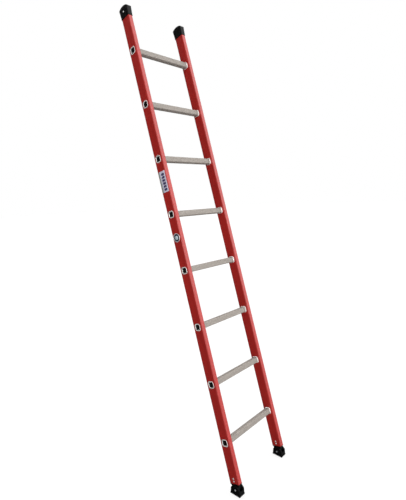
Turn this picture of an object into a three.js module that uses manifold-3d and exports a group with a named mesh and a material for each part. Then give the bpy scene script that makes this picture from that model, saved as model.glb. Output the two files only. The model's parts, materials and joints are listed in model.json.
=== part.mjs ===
// A single-section leaning ladder: two glass-fibre box stiles, eight rounded-square aluminium rungs,
// moulded caps on the stiles' top ends and swivelling shoes with rubber treads under them.
//
// Millimetres, +Z up. +X runs along the rungs, to a climber's right, and +Y is the way the ladder leans.
// The ladder stands at its working angle with both treads flat on the ground at Z = 0.
// The ladder's own frame, before it leans, has its origin on the shoes' pivot line, midway between the
// stiles, with +Z up the stiles.

import * as THREE from "three";
import { mergeVertices } from "three/addons/utils/BufferGeometryUtils.js";
import Module from "manifold-3d";

const wasm = await Module();
wasm.setup();

// The ladder as a whole
const LEAN = THREE.MathUtils.degToRad(15);
const RUNG_COUNT = 8;
const RUNG_PITCH = 280;
const LOWEST_RUNG = 222;
const STILE_SPACING = 367;
const GAP = 0.3;

// Stile: a rectangular tube
const STILE_WIDTH = 25;
const STILE_DEPTH = 56;
const STILE_WALL = 3;
const STILE_CORNER = 4;
const STILE_FOOT = 27.5;
const STILE_HEAD = 2398;

// Rung: a rounded-square tube, swaged at the stiles
const RUNG_HALF = 14.5;
const RUNG_CORNER = 6;
const RUNG_WALL = 2.2;
const RUNG_CORNER_FACETS = 2;
const COLLAR_PROUD = 3;
const COLLAR_CORNER = 10;
const COLLAR_LENGTH = 6;
const FLARE_PROUD = 3.2;
const FLARE_CORNER = 11;
const FLARE_THICKNESS = 1.6;

// Cap over a stile's top end
const CAP_TOP = 2413;
const CAP_HEIGHT = 59;
const CAP_ARCH = 10;
const CAP_HALF_DEPTH = 30;
const CAP_FLARE = 3.2;
const CAP_HALF_WIDTH = 14.6;
const CAP_WIDEN = 1.2;
const CAP_CORNER = 4;
const CAP_RIVET_HEIGHT = 2384;

// Foot: an insert in the stile's lower end, and a shoe that swivels on it
const PIVOT_HEIGHT = 24;
const INSERT_RIM_UNDERSIDE = 24;
const INSERT_RIM_PROUD = 1.2;
const PLUG_TOP = 85;
const PLUG_WALL = 3.5;
const KNUCKLE_HALF_WIDTH = 11;
const KNUCKLE_RADIUS = 13.5;
const KNUCKLE_HALF_DEPTH = 25.8;
const SHOE_HALF_WIDTH = 19;
const SHOE_HALF_DEPTH = 27.5;
const SHOULDER_HALF_DEPTH = 25.5;
const SHOULDER_HEIGHT = 8;
const CHEEK_RADIUS = 23;
const CHEEK_INSIDE = 11.5;
const SHOE_PLATE = 3.5;
const TREAD_THICKNESS = 5.5;
const TREAD_PROUD = 0.8;
const BUMPER_TOP = 0;
const BUMPER_THICKNESS = 4;
const RECESS_DEPTH = 4;
const RECESS_RADIUS = 7.5;
const TREAD_GROOVES = 6;
const GROOVE_WIDTH = 3;
const GROOVE_DEPTH = 2.5;

// Fasteners
const BOLT_RADIUS = 3;
const BOLT_HEAD_RADIUS = 5.25;
const BOLT_HEAD_HEIGHT = 3.2;
const NUT_FLATS = 10;
const NUT_HEIGHT = 6;
const WASHER_RADIUS = 6;
const WASHER_THICKNESS = 1.2;
const RIVET_RADIUS = 2;
const RIVET_HEAD_RADIUS = 4.2;
const RIVET_HEAD_HEIGHT = 1.6;
const INSERT_RIVET_HEIGHTS = [40, 52];

// What is stuck on the left stile's outer face
const LABEL_HEIGHT_UP = 1507;
const LABEL_SIZE = [46, 105];
const LABEL_THICKNESS = 0.5;
const BADGE_HEIGHT_UP = 1225;
const BADGE_RADIUS = 22;
const BADGE_THICKNESS = 3.5;

const SIDES = [
  { name: "left", outward: -1 },
  { name: "right", outward: 1 },
];

const stileGrp = { color: 0xb02a24, roughness: 0.45, metalness: 0 };
const rungMetal = { color: 0xbfb6ab, roughness: 0.4, metalness: 0.9 };
const blackPlastic = { color: 0x17181a, roughness: 0.55, metalness: 0 };
const blackRubber = { color: 0x111111, roughness: 0.9, metalness: 0 };
const zincSteel = { color: 0xc9ccd0, roughness: 0.3, metalness: 1 };
const labelFilm = { color: 0xcfcbe0, roughness: 0.4, metalness: 0.1 };
const badgeMetal = { color: 0xc3ccd6, roughness: 0.25, metalness: 0.9 };

// ---- Solids -------------------------------------------------------------------------------------

function toSolid(geometry) {
  const bare = geometry.clone();
  bare.deleteAttribute("normal");
  bare.deleteAttribute("uv");
  const merged = mergeVertices(bare, 1e-3);
  return new wasm.Manifold(
    new wasm.Mesh({
      numProp: 3,
      vertProperties: merged.attributes.position.array,
      triVerts: new Uint32Array(merged.index.array),
    }),
  );
}

function toGeometry(solid) {
  const mesh = solid.getMesh();
  const geometry = new THREE.BufferGeometry();
  geometry.setAttribute("position", new THREE.BufferAttribute(mesh.vertProperties, 3));
  geometry.setIndex(new THREE.BufferAttribute(mesh.triVerts, 1));
  const faceted = geometry.toNonIndexed();
  faceted.computeVertexNormals();
  return faceted;
}

// The first geometry with all the others taken out of it.
function cut(geometry, tools) {
  let solid = toSolid(geometry);
  for (const tool of tools) solid = solid.subtract(toSolid(tool));
  return toGeometry(solid);
}

function join(geometries) {
  let solid = toSolid(geometries[0]);
  for (const other of geometries.slice(1)) solid = solid.add(toSolid(other));
  return toGeometry(solid);
}

function roundedRectangle(halfX, halfY, corner) {
  const shape = new THREE.Shape();
  shape.absarc(halfX - corner, halfY - corner, corner, 0, Math.PI / 2);
  shape.absarc(corner - halfX, halfY - corner, corner, Math.PI / 2, Math.PI);
  shape.absarc(corner - halfX, corner - halfY, corner, Math.PI, 1.5 * Math.PI);
  shape.absarc(halfX - corner, corner - halfY, corner, 1.5 * Math.PI, 2 * Math.PI);
  shape.closePath();
  return shape;
}

// An upright prism of a shape in the XY plane, from z = low to z = high.
function upright(shape, low, high, curveSegments = 3) {
  const geometry = new THREE.ExtrudeGeometry(shape, {
    depth: high - low,
    bevelEnabled: false,
    curveSegments,
  });
  return geometry.translate(0, 0, low);
}

// A prism that runs along X from x = low to x = high, of a shape drawn in Y (across) and Z (up).
function crossways(shape, low, high, curveSegments = 3) {
  const geometry = upright(shape, low, high, curveSegments);
  const turn = new THREE.Matrix4().makeBasis(
    new THREE.Vector3(0, 1, 0),
    new THREE.Vector3(0, 0, 1),
    new THREE.Vector3(1, 0, 0),
  );
  return geometry.applyMatrix4(turn);
}

// A turned piece on the X axis. The profile is a list of [x, radius] from one end to the other.
function turned(profile, segments) {
  const points = profile.map(([along, radius]) => new THREE.Vector2(radius, along));
  return new THREE.LatheGeometry(points, segments).rotateZ(-Math.PI / 2);
}

// A straight round hole along X, as a solid to cut with.
function roundCutter(radius, low, high, y, z, segments = 16) {
  const profile = [
    [low, 0],
    [low, radius],
    [high, radius],
    [high, 0],
  ];
  return turned(profile, segments).translate(0, y, z);
}

// ---- Stiles -------------------------------------------------------------------------------------

function rungHeights() {
  return Array.from({ length: RUNG_COUNT }, (_, i) => LOWEST_RUNG + i * RUNG_PITCH);
}

function makeStile(outward) {
  const section = roundedRectangle(STILE_WIDTH / 2, STILE_DEPTH / 2, STILE_CORNER);
  const hollow = roundedRectangle(
    STILE_WIDTH / 2 - STILE_WALL,
    STILE_DEPTH / 2 - STILE_WALL,
    STILE_CORNER - STILE_WALL,
  );
  section.holes.push(hollow);
  const rungHole = roundedRectangle(RUNG_HALF + GAP, RUNG_HALF + GAP, RUNG_CORNER + GAP);
  const cutters = [];
  for (const height of rungHeights()) {
    const hole = crossways(rungHole, -STILE_WIDTH, STILE_WIDTH, RUNG_CORNER_FACETS);
    cutters.push(hole.translate(0, 0, height));
  }
  for (const height of INSERT_RIVET_HEIGHTS) {
    cutters.push(roundCutter(RIVET_RADIUS + GAP, -STILE_WIDTH, STILE_WIDTH, 0, height, 12));
  }
  const capRivetHole = [0, outward * STILE_WIDTH].sort((a, b) => a - b);
  cutters.push(roundCutter(RIVET_RADIUS + GAP, ...capRivetHole, 0, CAP_RIVET_HEIGHT, 12));
  return cut(upright(section, STILE_FOOT, STILE_HEAD), cutters);
}

// ---- Rungs --------------------------------------------------------------------------------------

// A closed tube along X. Each station gives x, the section's half-width and its corner radius. The
// outside runs from one end to the other and the bore runs back, so the last station joins the first.
function squareTube(stations, cornerSegments) {
  const positions = [];
  const pointsPerRing = 4 * (cornerSegments + 1);
  for (const { x, half, corner } of stations) {
    for (let quarter = 0; quarter < 4; quarter++) {
      const middle = new THREE.Vector2(half - corner, half - corner);
      middle.rotateAround(new THREE.Vector2(), (quarter * Math.PI) / 2);
      for (let i = 0; i <= cornerSegments; i++) {
        const angle = ((quarter + i / cornerSegments) * Math.PI) / 2;
        positions.push(x, middle.x + corner * Math.cos(angle), middle.y + corner * Math.sin(angle));
      }
    }
  }
  const index = [];
  for (let ring = 0; ring < stations.length; ring++) {
    const here = ring * pointsPerRing;
    const next = ((ring + 1) % stations.length) * pointsPerRing;
    for (let i = 0; i < pointsPerRing; i++) {
      const j = (i + 1) % pointsPerRing;
      index.push(here + i, here + j, next + j);
      index.push(here + i, next + j, next + i);
    }
  }
  const geometry = new THREE.BufferGeometry();
  geometry.setAttribute("position", new THREE.Float32BufferAttribute(positions, 3));
  geometry.setIndex(index);
  return geometry;
}

function makeRung() {
  const outerFace = (STILE_SPACING + STILE_WIDTH) / 2 + GAP;
  const innerFace = (STILE_SPACING - STILE_WIDTH) / 2 - GAP;
  const end = outerFace + FLARE_THICKNESS;
  const bore = RUNG_HALF - RUNG_WALL;
  const flare = { half: RUNG_HALF + FLARE_PROUD, corner: FLARE_CORNER };
  const collar = { half: RUNG_HALF + COLLAR_PROUD, corner: COLLAR_CORNER };
  const tube = { half: RUNG_HALF, corner: RUNG_CORNER };
  const inside = { half: bore, corner: RUNG_CORNER - RUNG_WALL };
  const boreMouth = { half: bore + 1.5, corner: RUNG_CORNER - RUNG_WALL + 1.5 };
  const rightHalf = [
    { x: innerFace - COLLAR_LENGTH, ...tube },
    { x: innerFace - COLLAR_LENGTH + COLLAR_PROUD / 2, ...collar },
    { x: innerFace, ...collar },
    { x: innerFace, ...tube },
    { x: outerFace, ...tube },
    { x: outerFace, ...flare },
    { x: end - FLARE_THICKNESS / 2, ...flare },
    { x: end, half: RUNG_HALF, corner: RUNG_CORNER },
    { x: end, ...boreMouth },
    { x: end - 2.5, ...inside },
  ];
  const leftHalf = rightHalf.map((station) => ({ ...station, x: -station.x })).reverse();
  return squareTube([...rightHalf, ...leftHalf], RUNG_CORNER_FACETS);
}

// ---- Caps ---------------------------------------------------------------------------------------

// The cap's outside: a rounded rectangle that widens upwards, under an arched top.
function capOutside() {
  const bottom = CAP_TOP - CAP_HEIGHT;
  const shape = roundedRectangle(CAP_HALF_WIDTH, CAP_HALF_DEPTH, CAP_CORNER);
  const straightTop = CAP_TOP - CAP_ARCH;
  const geometry = new THREE.ExtrudeGeometry(shape, {
    depth: CAP_HEIGHT,
    bevelEnabled: false,
    curveSegments: 3,
  });
  geometry.translate(0, 0, bottom);
  const place = geometry.attributes.position;
  for (let i = 0; i < place.count; i++) {
    const share = (place.getZ(i) - bottom) / CAP_HEIGHT;
    place.setX(i, place.getX(i) * (1 + (share * CAP_WIDEN) / CAP_HALF_WIDTH));
    place.setY(i, place.getY(i) * (1 + (share * CAP_FLARE) / CAP_HALF_DEPTH));
  }
  return toGeometry(toSolid(geometry).intersect(toSolid(archBlock(straightTop))));
}

// A tall block whose top is one arc, from the given height at the cap's edges to the crown.
function archBlock(edgeHeight) {
  const halfChord = CAP_HALF_DEPTH + CAP_FLARE;
  const rise = CAP_TOP - edgeHeight;
  const radius = (halfChord ** 2 + rise ** 2) / (2 * rise);
  const reach = Math.asin(halfChord / radius);
  const shape = new THREE.Shape();
  shape.moveTo(-halfChord, CAP_TOP - 2 * CAP_HEIGHT);
  shape.lineTo(halfChord, CAP_TOP - 2 * CAP_HEIGHT);
  shape.absarc(0, CAP_TOP - radius, radius, Math.PI / 2 - reach, Math.PI / 2 + reach);
  shape.closePath();
  return crossways(shape, -2 * CAP_HALF_WIDTH, 2 * CAP_HALF_WIDTH, 8);
}

function makeCap(outward) {
  const socket = roundedRectangle(
    STILE_WIDTH / 2 + GAP,
    STILE_DEPTH / 2 + GAP,
    STILE_CORNER + GAP,
  );
  const socketCutter = upright(socket, CAP_TOP - 2 * CAP_HEIGHT, STILE_HEAD + GAP);
  const rivetHole = [0, outward * STILE_WIDTH].sort((a, b) => a - b);
  const rivetCutter = roundCutter(RIVET_RADIUS + GAP, ...rivetHole, 0, CAP_RIVET_HEIGHT, 12);
  return cut(capOutside(), [socketCutter, rivetCutter]);
}

// How far the cap's outer face stands from the stile's middle, at the rivet.
function capFaceAtRivet() {
  const share = (CAP_RIVET_HEIGHT - (CAP_TOP - CAP_HEIGHT)) / CAP_HEIGHT;
  return CAP_HALF_WIDTH + share * CAP_WIDEN;
}

// ---- Feet ---------------------------------------------------------------------------------------

// The knuckle's outline in Y and Z: straight flanks that run tangent into a round bottom on the pivot.
function knuckleOutline(top) {
  const corner = new THREE.Vector2(KNUCKLE_HALF_DEPTH, top);
  const fromVertical = Math.atan2(corner.x, corner.y) + Math.acos(KNUCKLE_RADIUS / corner.length());
  const tangent = Math.PI / 2 - fromVertical;
  const shape = new THREE.Shape();
  shape.moveTo(-corner.x, corner.y);
  shape.absarc(0, 0, KNUCKLE_RADIUS, Math.PI - tangent, 2 * Math.PI + tangent);
  shape.lineTo(corner.x, corner.y);
  shape.closePath();
  return shape;
}

function makeFootInsert() {
  const plugX = STILE_WIDTH / 2 - STILE_WALL - GAP;
  const plugY = STILE_DEPTH / 2 - STILE_WALL - GAP;
  const rimX = STILE_WIDTH / 2 + INSERT_RIM_PROUD;
  const rimY = STILE_DEPTH / 2 + INSERT_RIM_PROUD;
  const rim = roundedRectangle(rimX, rimY, STILE_CORNER + INSERT_RIM_PROUD);
  const plug = roundedRectangle(plugX, plugY, 1);
  const pocket = roundedRectangle(plugX - PLUG_WALL, plugY - PLUG_WALL, 1);
  const knuckle = knuckleOutline(INSERT_RIM_UNDERSIDE + 1);
  const body = join([
    upright(rim, INSERT_RIM_UNDERSIDE, STILE_FOOT - GAP),
    upright(plug, INSERT_RIM_UNDERSIDE + 1, PLUG_TOP),
    crossways(knuckle, -KNUCKLE_HALF_WIDTH, KNUCKLE_HALF_WIDTH, 12),
  ]);
  const cutters = [
    upright(pocket, STILE_FOOT, 2 * PLUG_TOP),
    roundCutter(BOLT_RADIUS + GAP, -SHOE_HALF_WIDTH, SHOE_HALF_WIDTH, 0, 0, 24),
  ];
  for (const height of INSERT_RIVET_HEIGHTS) {
    cutters.push(roundCutter(RIVET_RADIUS + GAP, -STILE_WIDTH, STILE_WIDTH, 0, height, 12));
  }
  return cut(body, cutters);
}

// A cheek's outline: sides that lean in a little, then shoulders tangent to a round top on the pivot.
function cheekOutline(bottom) {
  const shoulder = new THREE.Vector2(SHOULDER_HALF_DEPTH, SHOULDER_HEIGHT);
  const fromVertical =
    Math.atan2(shoulder.x, shoulder.y) - Math.acos(CHEEK_RADIUS / shoulder.length());
  const tangent = Math.PI / 2 - fromVertical;
  const shape = new THREE.Shape();
  shape.moveTo(-SHOE_HALF_DEPTH, bottom);
  shape.lineTo(SHOE_HALF_DEPTH, bottom);
  shape.lineTo(shoulder.x, shoulder.y);
  shape.absarc(0, 0, CHEEK_RADIUS, tangent, Math.PI - tangent);
  shape.lineTo(-shoulder.x, shoulder.y);
  shape.closePath();
  return shape;
}

// The shoe: two cheeks on a base plate, with a low bumper wall across the front and the back.
function makeShoe() {
  const underside = TREAD_THICKNESS - PIVOT_HEIGHT + GAP;
  const plateTop = underside + SHOE_PLATE;
  const block = crossways(cheekOutline(underside), -SHOE_HALF_WIDTH, SHOE_HALF_WIDTH, 8);
  const well = new THREE.BoxGeometry(
    2 * CHEEK_INSIDE,
    2 * (SHOE_HALF_DEPTH - BUMPER_THICKNESS),
    2 * SHOE_HALF_DEPTH,
  );
  well.translate(0, 0, plateTop + SHOE_HALF_DEPTH);
  const slot = new THREE.BoxGeometry(2 * CHEEK_INSIDE, 4 * SHOE_HALF_DEPTH, 2 * SHOE_HALF_DEPTH);
  slot.translate(0, 0, BUMPER_TOP + SHOE_HALF_DEPTH);
  const recessFloor = SHOE_HALF_WIDTH - RECESS_DEPTH;
  return cut(block, [
    well,
    slot,
    roundCutter(BOLT_RADIUS + GAP, -2 * SHOE_HALF_WIDTH, 2 * SHOE_HALF_WIDTH, 0, 0, 24),
    roundCutter(RECESS_RADIUS, recessFloor, 2 * SHOE_HALF_WIDTH, 0, 0, 24),
    roundCutter(RECESS_RADIUS, -2 * SHOE_HALF_WIDTH, -recessFloor, 0, 0, 24),
  ]);
}

// The tread: a rubber slab, a little wider than the shoe, whose grooves leave ribs on the ground.
function makeTread() {
  const low = -PIVOT_HEIGHT;
  const halfDepth = SHOE_HALF_DEPTH + TREAD_PROUD;
  const halfWidth = SHOE_HALF_WIDTH + TREAD_PROUD;
  const spacing = (2 * halfDepth) / (TREAD_GROOVES + 1);
  const shape = new THREE.Shape();
  shape.moveTo(-halfDepth, low);
  for (let i = 1; i <= TREAD_GROOVES; i++) {
    const middle = -halfDepth + i * spacing;
    shape.lineTo(middle - GROOVE_WIDTH / 2, low);
    shape.lineTo(middle - GROOVE_WIDTH / 2, low + GROOVE_DEPTH);
    shape.lineTo(middle + GROOVE_WIDTH / 2, low + GROOVE_DEPTH);
    shape.lineTo(middle + GROOVE_WIDTH / 2, low);
  }
  shape.lineTo(halfDepth, low);
  shape.lineTo(halfDepth, low + TREAD_THICKNESS);
  shape.lineTo(-halfDepth, low + TREAD_THICKNESS);
  shape.closePath();
  return crossways(shape, -halfWidth, halfWidth);
}

// ---- Fasteners ----------------------------------------------------------------------------------

// Each fastener is made with its head towards +X, and turned round for a head towards -X.
function facing(outward, geometry) {
  return outward > 0 ? geometry : geometry.rotateZ(Math.PI);
}

function boltSeat() {
  return SHOE_HALF_WIDTH - RECESS_DEPTH + GAP;
}

function makePivotBolt() {
  const seat = boltSeat();
  const tip = seat + WASHER_THICKNESS + NUT_HEIGHT + 2 * GAP + 1;
  const edge = BOLT_HEAD_HEIGHT / 3;
  return turned(
    [
      [-tip, 0],
      [-tip, BOLT_RADIUS - 0.6],
      [-tip + 0.6, BOLT_RADIUS],
      [seat, BOLT_RADIUS],
      [seat, BOLT_HEAD_RADIUS],
      [seat + edge, BOLT_HEAD_RADIUS],
      [seat + 2 * edge, BOLT_HEAD_RADIUS * 0.8],
      [seat + BOLT_HEAD_HEIGHT, BOLT_HEAD_RADIUS * 0.45],
      [seat + BOLT_HEAD_HEIGHT, 0],
    ],
    20,
  );
}

function makeWasher() {
  const seat = boltSeat();
  const ring = new THREE.Shape().absarc(0, 0, WASHER_RADIUS, 0, 2 * Math.PI);
  ring.holes.push(new THREE.Path().absarc(0, 0, BOLT_RADIUS + GAP, 0, 2 * Math.PI));
  return crossways(ring, -seat - WASHER_THICKNESS, -seat, 10);
}

function makeNut() {
  const seat = boltSeat() + WASHER_THICKNESS + GAP;
  const hexagon = new THREE.Shape();
  for (let i = 0; i < 6; i++) {
    const angle = (i * Math.PI) / 3;
    const radius = NUT_FLATS / 2 / Math.cos(Math.PI / 6);
    const method = i === 0 ? "moveTo" : "lineTo";
    hexagon[method](radius * Math.cos(angle), radius * Math.sin(angle));
  }
  hexagon.closePath();
  hexagon.holes.push(new THREE.Path().absarc(0, 0, BOLT_RADIUS + GAP, 0, 2 * Math.PI));
  return crossways(hexagon, -seat - NUT_HEIGHT, -seat, 10);
}

// A blind rivet: domed head outside, shank through both walls, and the upset end inside the hollow.
function makeRivet(grip) {
  const upset = 3;
  return turned(
    [
      [-grip - upset, 0],
      [-grip - upset, RIVET_RADIUS],
      [0, RIVET_RADIUS],
      [0, RIVET_HEAD_RADIUS],
      [RIVET_HEAD_HEIGHT / 2, RIVET_HEAD_RADIUS * 0.85],
      [RIVET_HEAD_HEIGHT, RIVET_HEAD_RADIUS * 0.4],
      [RIVET_HEAD_HEIGHT, 0],
    ],
    12,
  );
}

// ---- Label and badge ----------------------------------------------------------------------------

function makeLabel() {
  const [depth, height] = LABEL_SIZE;
  const outline = roundedRectangle(depth / 2, height / 2, 3);
  return crossways(outline, 0, LABEL_THICKNESS);
}

// A shallow dome in a raised rim, made facing +X.
function makeBadge() {
  return turned(
    [
      [0, 0],
      [0, BADGE_RADIUS],
      [BADGE_THICKNESS * 0.6, BADGE_RADIUS - 0.6],
      [BADGE_THICKNESS * 0.75, BADGE_RADIUS - 2],
      [BADGE_THICKNESS * 0.4, BADGE_RADIUS - 4],
      [BADGE_THICKNESS * 0.85, BADGE_RADIUS * 0.45],
      [BADGE_THICKNESS, 0],
    ],
    32,
  );
}

// ---- Assembly -----------------------------------------------------------------------------------

const ladder = new THREE.Group();
const leaning = new THREE.Group();
leaning.rotation.x = -LEAN;
leaning.position.z = PIVOT_HEIGHT;
ladder.add(leaning);

function add(parent, name, geometry, look, position = [0, 0, 0]) {
  const mesh = new THREE.Mesh(geometry, new THREE.MeshStandardMaterial(look));
  mesh.name = name;
  mesh.position.set(...position);
  parent.add(mesh);
}

function addRungs() {
  rungHeights().forEach((height, i) => {
    add(leaning, `rung_${i + 1}`, makeRung(), rungMetal, [0, 0, height]);
  });
}

function addStile({ name, outward }) {
  const x = (outward * STILE_SPACING) / 2;
  const capRivet = facing(outward, makeRivet(capFaceAtRivet() - STILE_WIDTH / 2 + STILE_WALL));
  const capRivetX = x + outward * (capFaceAtRivet() + GAP);
  add(leaning, `stile_${name}`, makeStile(outward), stileGrp, [x, 0, 0]);
  add(leaning, `top_cap_${name}`, makeCap(outward), blackPlastic, [x, 0, 0]);
  add(leaning, `cap_rivet_${name}`, capRivet, zincSteel, [capRivetX, 0, CAP_RIVET_HEIGHT]);
}

function addInsert({ name, outward }) {
  const x = (outward * STILE_SPACING) / 2;
  add(leaning, `foot_insert_${name}`, makeFootInsert(), blackPlastic, [x, 0, 0]);
  for (const [face, way] of [["outer", outward], ["inner", -outward]]) {
    INSERT_RIVET_HEIGHTS.forEach((height, i) => {
      const rivet = facing(way, makeRivet(STILE_WALL + PLUG_WALL - GAP));
      const rivetX = x + way * (STILE_WIDTH / 2 + GAP);
      add(leaning, `insert_rivet_${name}_${face}_${i + 1}`, rivet, zincSteel, [rivetX, 0, height]);
    });
  }
}

// The shoe and what rides with it stand upright on the ground, outside the leaning group.
function addShoe({ name, outward }) {
  const pivot = [(outward * STILE_SPACING) / 2, 0, PIVOT_HEIGHT];
  add(ladder, `foot_shoe_${name}`, makeShoe(), blackPlastic, pivot);
  add(ladder, `foot_tread_${name}`, makeTread(), blackRubber, pivot);
  add(ladder, `pivot_bolt_${name}`, facing(outward, makePivotBolt()), zincSteel, pivot);
  add(ladder, `pivot_washer_${name}`, facing(outward, makeWasher()), zincSteel, pivot);
  add(ladder, `pivot_nut_${name}`, facing(outward, makeNut()), zincSteel, pivot);
}

function addStuckOnPieces() {
  const face = -(STILE_SPACING + STILE_WIDTH) / 2 - GAP;
  const label = facing(-1, makeLabel());
  const badge = facing(-1, makeBadge());
  add(leaning, "side_label", label, labelFilm, [face, 0, LABEL_HEIGHT_UP]);
  add(leaning, "round_badge", badge, badgeMetal, [face, 0, BADGE_HEIGHT_UP]);
}

addRungs();
for (const side of SIDES) {
  addStile(side);
  addInsert(side);
  addShoe(side);
}
addStuckOnPieces();

// The part's origin is on the ground, under the middle of the leaning ladder's box.
const box = new THREE.Box3().setFromObject(ladder, true);
ladder.position.y = -(box.min.y + box.max.y) / 2;

export default ladder;
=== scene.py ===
"""The looks of a leaning ladder: glass-fibre stiles, ribbed aluminium rungs, moulded caps and swivel feet.

Every piece is built in millimetres in the ladder's own frame, whose origin is on the feet's pivot line and
whose +Z runs up the stiles. It is then leaned into the row frame, on top of the CAD node that it replaces.
"""

import json
import math

import bmesh
import bpy
from mathutils import Matrix, Vector


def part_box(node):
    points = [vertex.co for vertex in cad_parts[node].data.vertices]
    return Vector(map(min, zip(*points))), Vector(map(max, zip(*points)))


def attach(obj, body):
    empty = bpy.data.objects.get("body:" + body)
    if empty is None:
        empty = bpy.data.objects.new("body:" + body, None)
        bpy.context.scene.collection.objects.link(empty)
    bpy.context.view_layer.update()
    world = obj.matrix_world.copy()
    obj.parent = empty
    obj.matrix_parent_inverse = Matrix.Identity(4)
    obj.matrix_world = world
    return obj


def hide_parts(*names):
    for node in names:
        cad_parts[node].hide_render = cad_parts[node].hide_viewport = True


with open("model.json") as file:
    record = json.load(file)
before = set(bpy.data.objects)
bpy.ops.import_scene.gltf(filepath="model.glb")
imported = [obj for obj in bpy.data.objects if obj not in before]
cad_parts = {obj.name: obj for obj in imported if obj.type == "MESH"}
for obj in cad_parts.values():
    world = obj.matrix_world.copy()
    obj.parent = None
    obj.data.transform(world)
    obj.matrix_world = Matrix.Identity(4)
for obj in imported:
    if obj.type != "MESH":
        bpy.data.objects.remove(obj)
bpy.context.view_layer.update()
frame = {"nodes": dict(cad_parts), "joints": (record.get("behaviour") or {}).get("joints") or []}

MM = 0.001
SIDES = {"left": -1, "right": 1}

# The camera, in the row frame
CAMERA_PLACE = (-1.4830, -1.3697, 1.4028)
CAMERA_AZIMUTH = 46.923
CAMERA_PITCH = -7.888
CAMERA_ROLL = -2.420
CAMERA_LENS = 28.008

# Sizes that the CAD boxes don't give, in millimetres
STILE_WALL = 3.0
STILE_CORNER = 4.0
STILE_INNER_CORNER = 1.0
STILE_EDGE = 0.3
RUNG_CORNER = 6.0
RUNG_WALL = 2.2
RIB_HEIGHT = 0.4
RIBS_PER_FACE = 5
COLLAR_LENGTH = 6.0
COLLAR_PROUD = 3.0
COLLAR_CORNER = 10.0
COLLAR_OVERRUN = 1.5
FLARE_PROUD = 3.2
FLARE_CORNER = 11.0
BORE_FLARE = 2.6
BORE_FLARE_LENGTH = 2.8
BORE_SETBACK = 1.5
GAP = 0.3
CAP_ARCH = 10.0
CAP_CORNER = 4.0
CAP_FILLET = 2.2
CAP_LIP = 6.0
CAP_LIP_STEP = 0.45
CAP_LIP_SLOPE = 0.5
CAP_EDGE = 0.6
CAP_WIDEN = 1.2
CAP_FLARE = 3.2
CAP_TOP_STEPS = 15
CAP_RIVET_SEAT_DEPTH = 2.2
CAP_RIVET_SEAT_RADIUS = 6.2
INSERT_RIM_THICKNESS = 3.2
INSERT_RIM_FILLET = 1.2
INSERT_RIM_EDGE = 0.4
PLUG_CORNER = 1.0
POCKET_SHARE = (0.62, 0.86)
KNUCKLE_RADIUS = 13.5
KNUCKLE_HALF_DEPTH = 25.8
KNUCKLE_HALF_WIDTH = 11.0
CHEEK_RADIUS = 23.0
CHEEK_INSIDE = 11.5
SHOULDER_HALF_DEPTH = 25.5
SHOULDER_HEIGHT = 8.0
SHOE_PLATE = 3.5
BUMPER_THICKNESS = 4.0
BUMPER_TOP = 0.0
RECESS_DEPTH = 4.0
RECESS_RADIUS = 7.5
BOSS_RADIUS = 10.5
PANEL_BORDER = 2.6
PANEL_DEPTH = 1.0
PANEL_RIB_ANGLES = (35, 145, 215, 325)
PANEL_RIB_HALF = 1.1
PANEL_RIB_REACH = 50
TREAD_GROOVES = 6
GROOVE_WIDTH = 3.0
GROOVE_DEPTH = 2.5
GROOVE_TAPER = 0.4
SIPE_HALF = 0.6
SIPE_DEPTH = 1.6
RIVET_RADIUS = 2.0
RIVET_HEAD_HEIGHT = 1.6
BOLT_RADIUS = 3.0
BOLT_HEAD_HEIGHT = 3.2
BOLT_SOCKET_RADIUS = 2.3
BOLT_SOCKET_DEPTH = 2.1
THREAD_ROOT = 2.7
THREAD_LENGTH = 9
THREAD_PITCH = 1.0
BADGE_DOME_RADIUS = 10.0

# The foot insert's rim stands 0.6 mm less proud of the stile here than it does in the CAD
INSERT_RIM_PROUD = 0.6

# One rib of a rung, as shares of the ribs' pitch and of their height
RIB_SHAPE = [(0.12, 0), (0.2, 1), (0.62, 1), (0.7, 0)]

# How the meshes are made, in millimetres: the point beside each corner that keeps a flat flat in
# shading, and the length below which an edge is cleaned away
SUPPORT = 0.4
SLIVER = 0.004
SMOOTH_ANGLE = math.radians(32)

# The stage, in metres: the floor's size, the band over which it darkens behind the ladder, and its glow
FLOOR_REACH = 40.0
FLOOR_DARKENS = (-0.45, -0.3)
FLOOR_GLOW = 0.8
FLOOR_LIGHT = (0.82, 0.82, 0.82)
FLOOR_DARK = (0.06, 0.06, 0.06)

# The sky's strength in front and behind, and the band of directions over which it changes
SKY_FRONT = 0.6
SKY_BEHIND = 0.06
SKY_CHANGES = (-0.8, 0.6)


# ---- The ladder's own frame ----------------------------------------------------------------------


def middle(node):
    """The middle of a CAD node's box, in the row frame."""
    low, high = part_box(node)
    return (low + high) / 2


def ladder_to_row():
    """The matrix from the ladder's own frame, in metres, to the row frame."""
    up = (middle("rung_8") - middle("rung_1")).normalized()
    across = Vector((1, 0, 0))
    turn = Matrix((across, up.cross(across), up)).transposed().to_4x4()
    pivots = [Vector(joint["pos_m"]) for joint in frame["joints"]]
    return Matrix.Translation(sum(pivots, Vector()) / len(pivots)) @ turn


TO_ROW = ladder_to_row()
UPRIGHT = Matrix.Translation(TO_ROW.translation)
LEAN = math.atan2(TO_ROW[1][2], TO_ROW[2][2])


def own_box(node, matrix=TO_ROW):
    """A CAD node's lowest and highest corners in the ladder's own frame, in millimetres."""
    back = matrix.inverted()
    points = [back @ vertex.co / MM for vertex in frame["nodes"][node].data.vertices]
    low = Vector([min(point[i] for point in points) for i in range(3)])
    high = Vector([max(point[i] for point in points) for i in range(3)])
    return low, high


# ---- Mesh tools ----------------------------------------------------------------------------------


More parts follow.
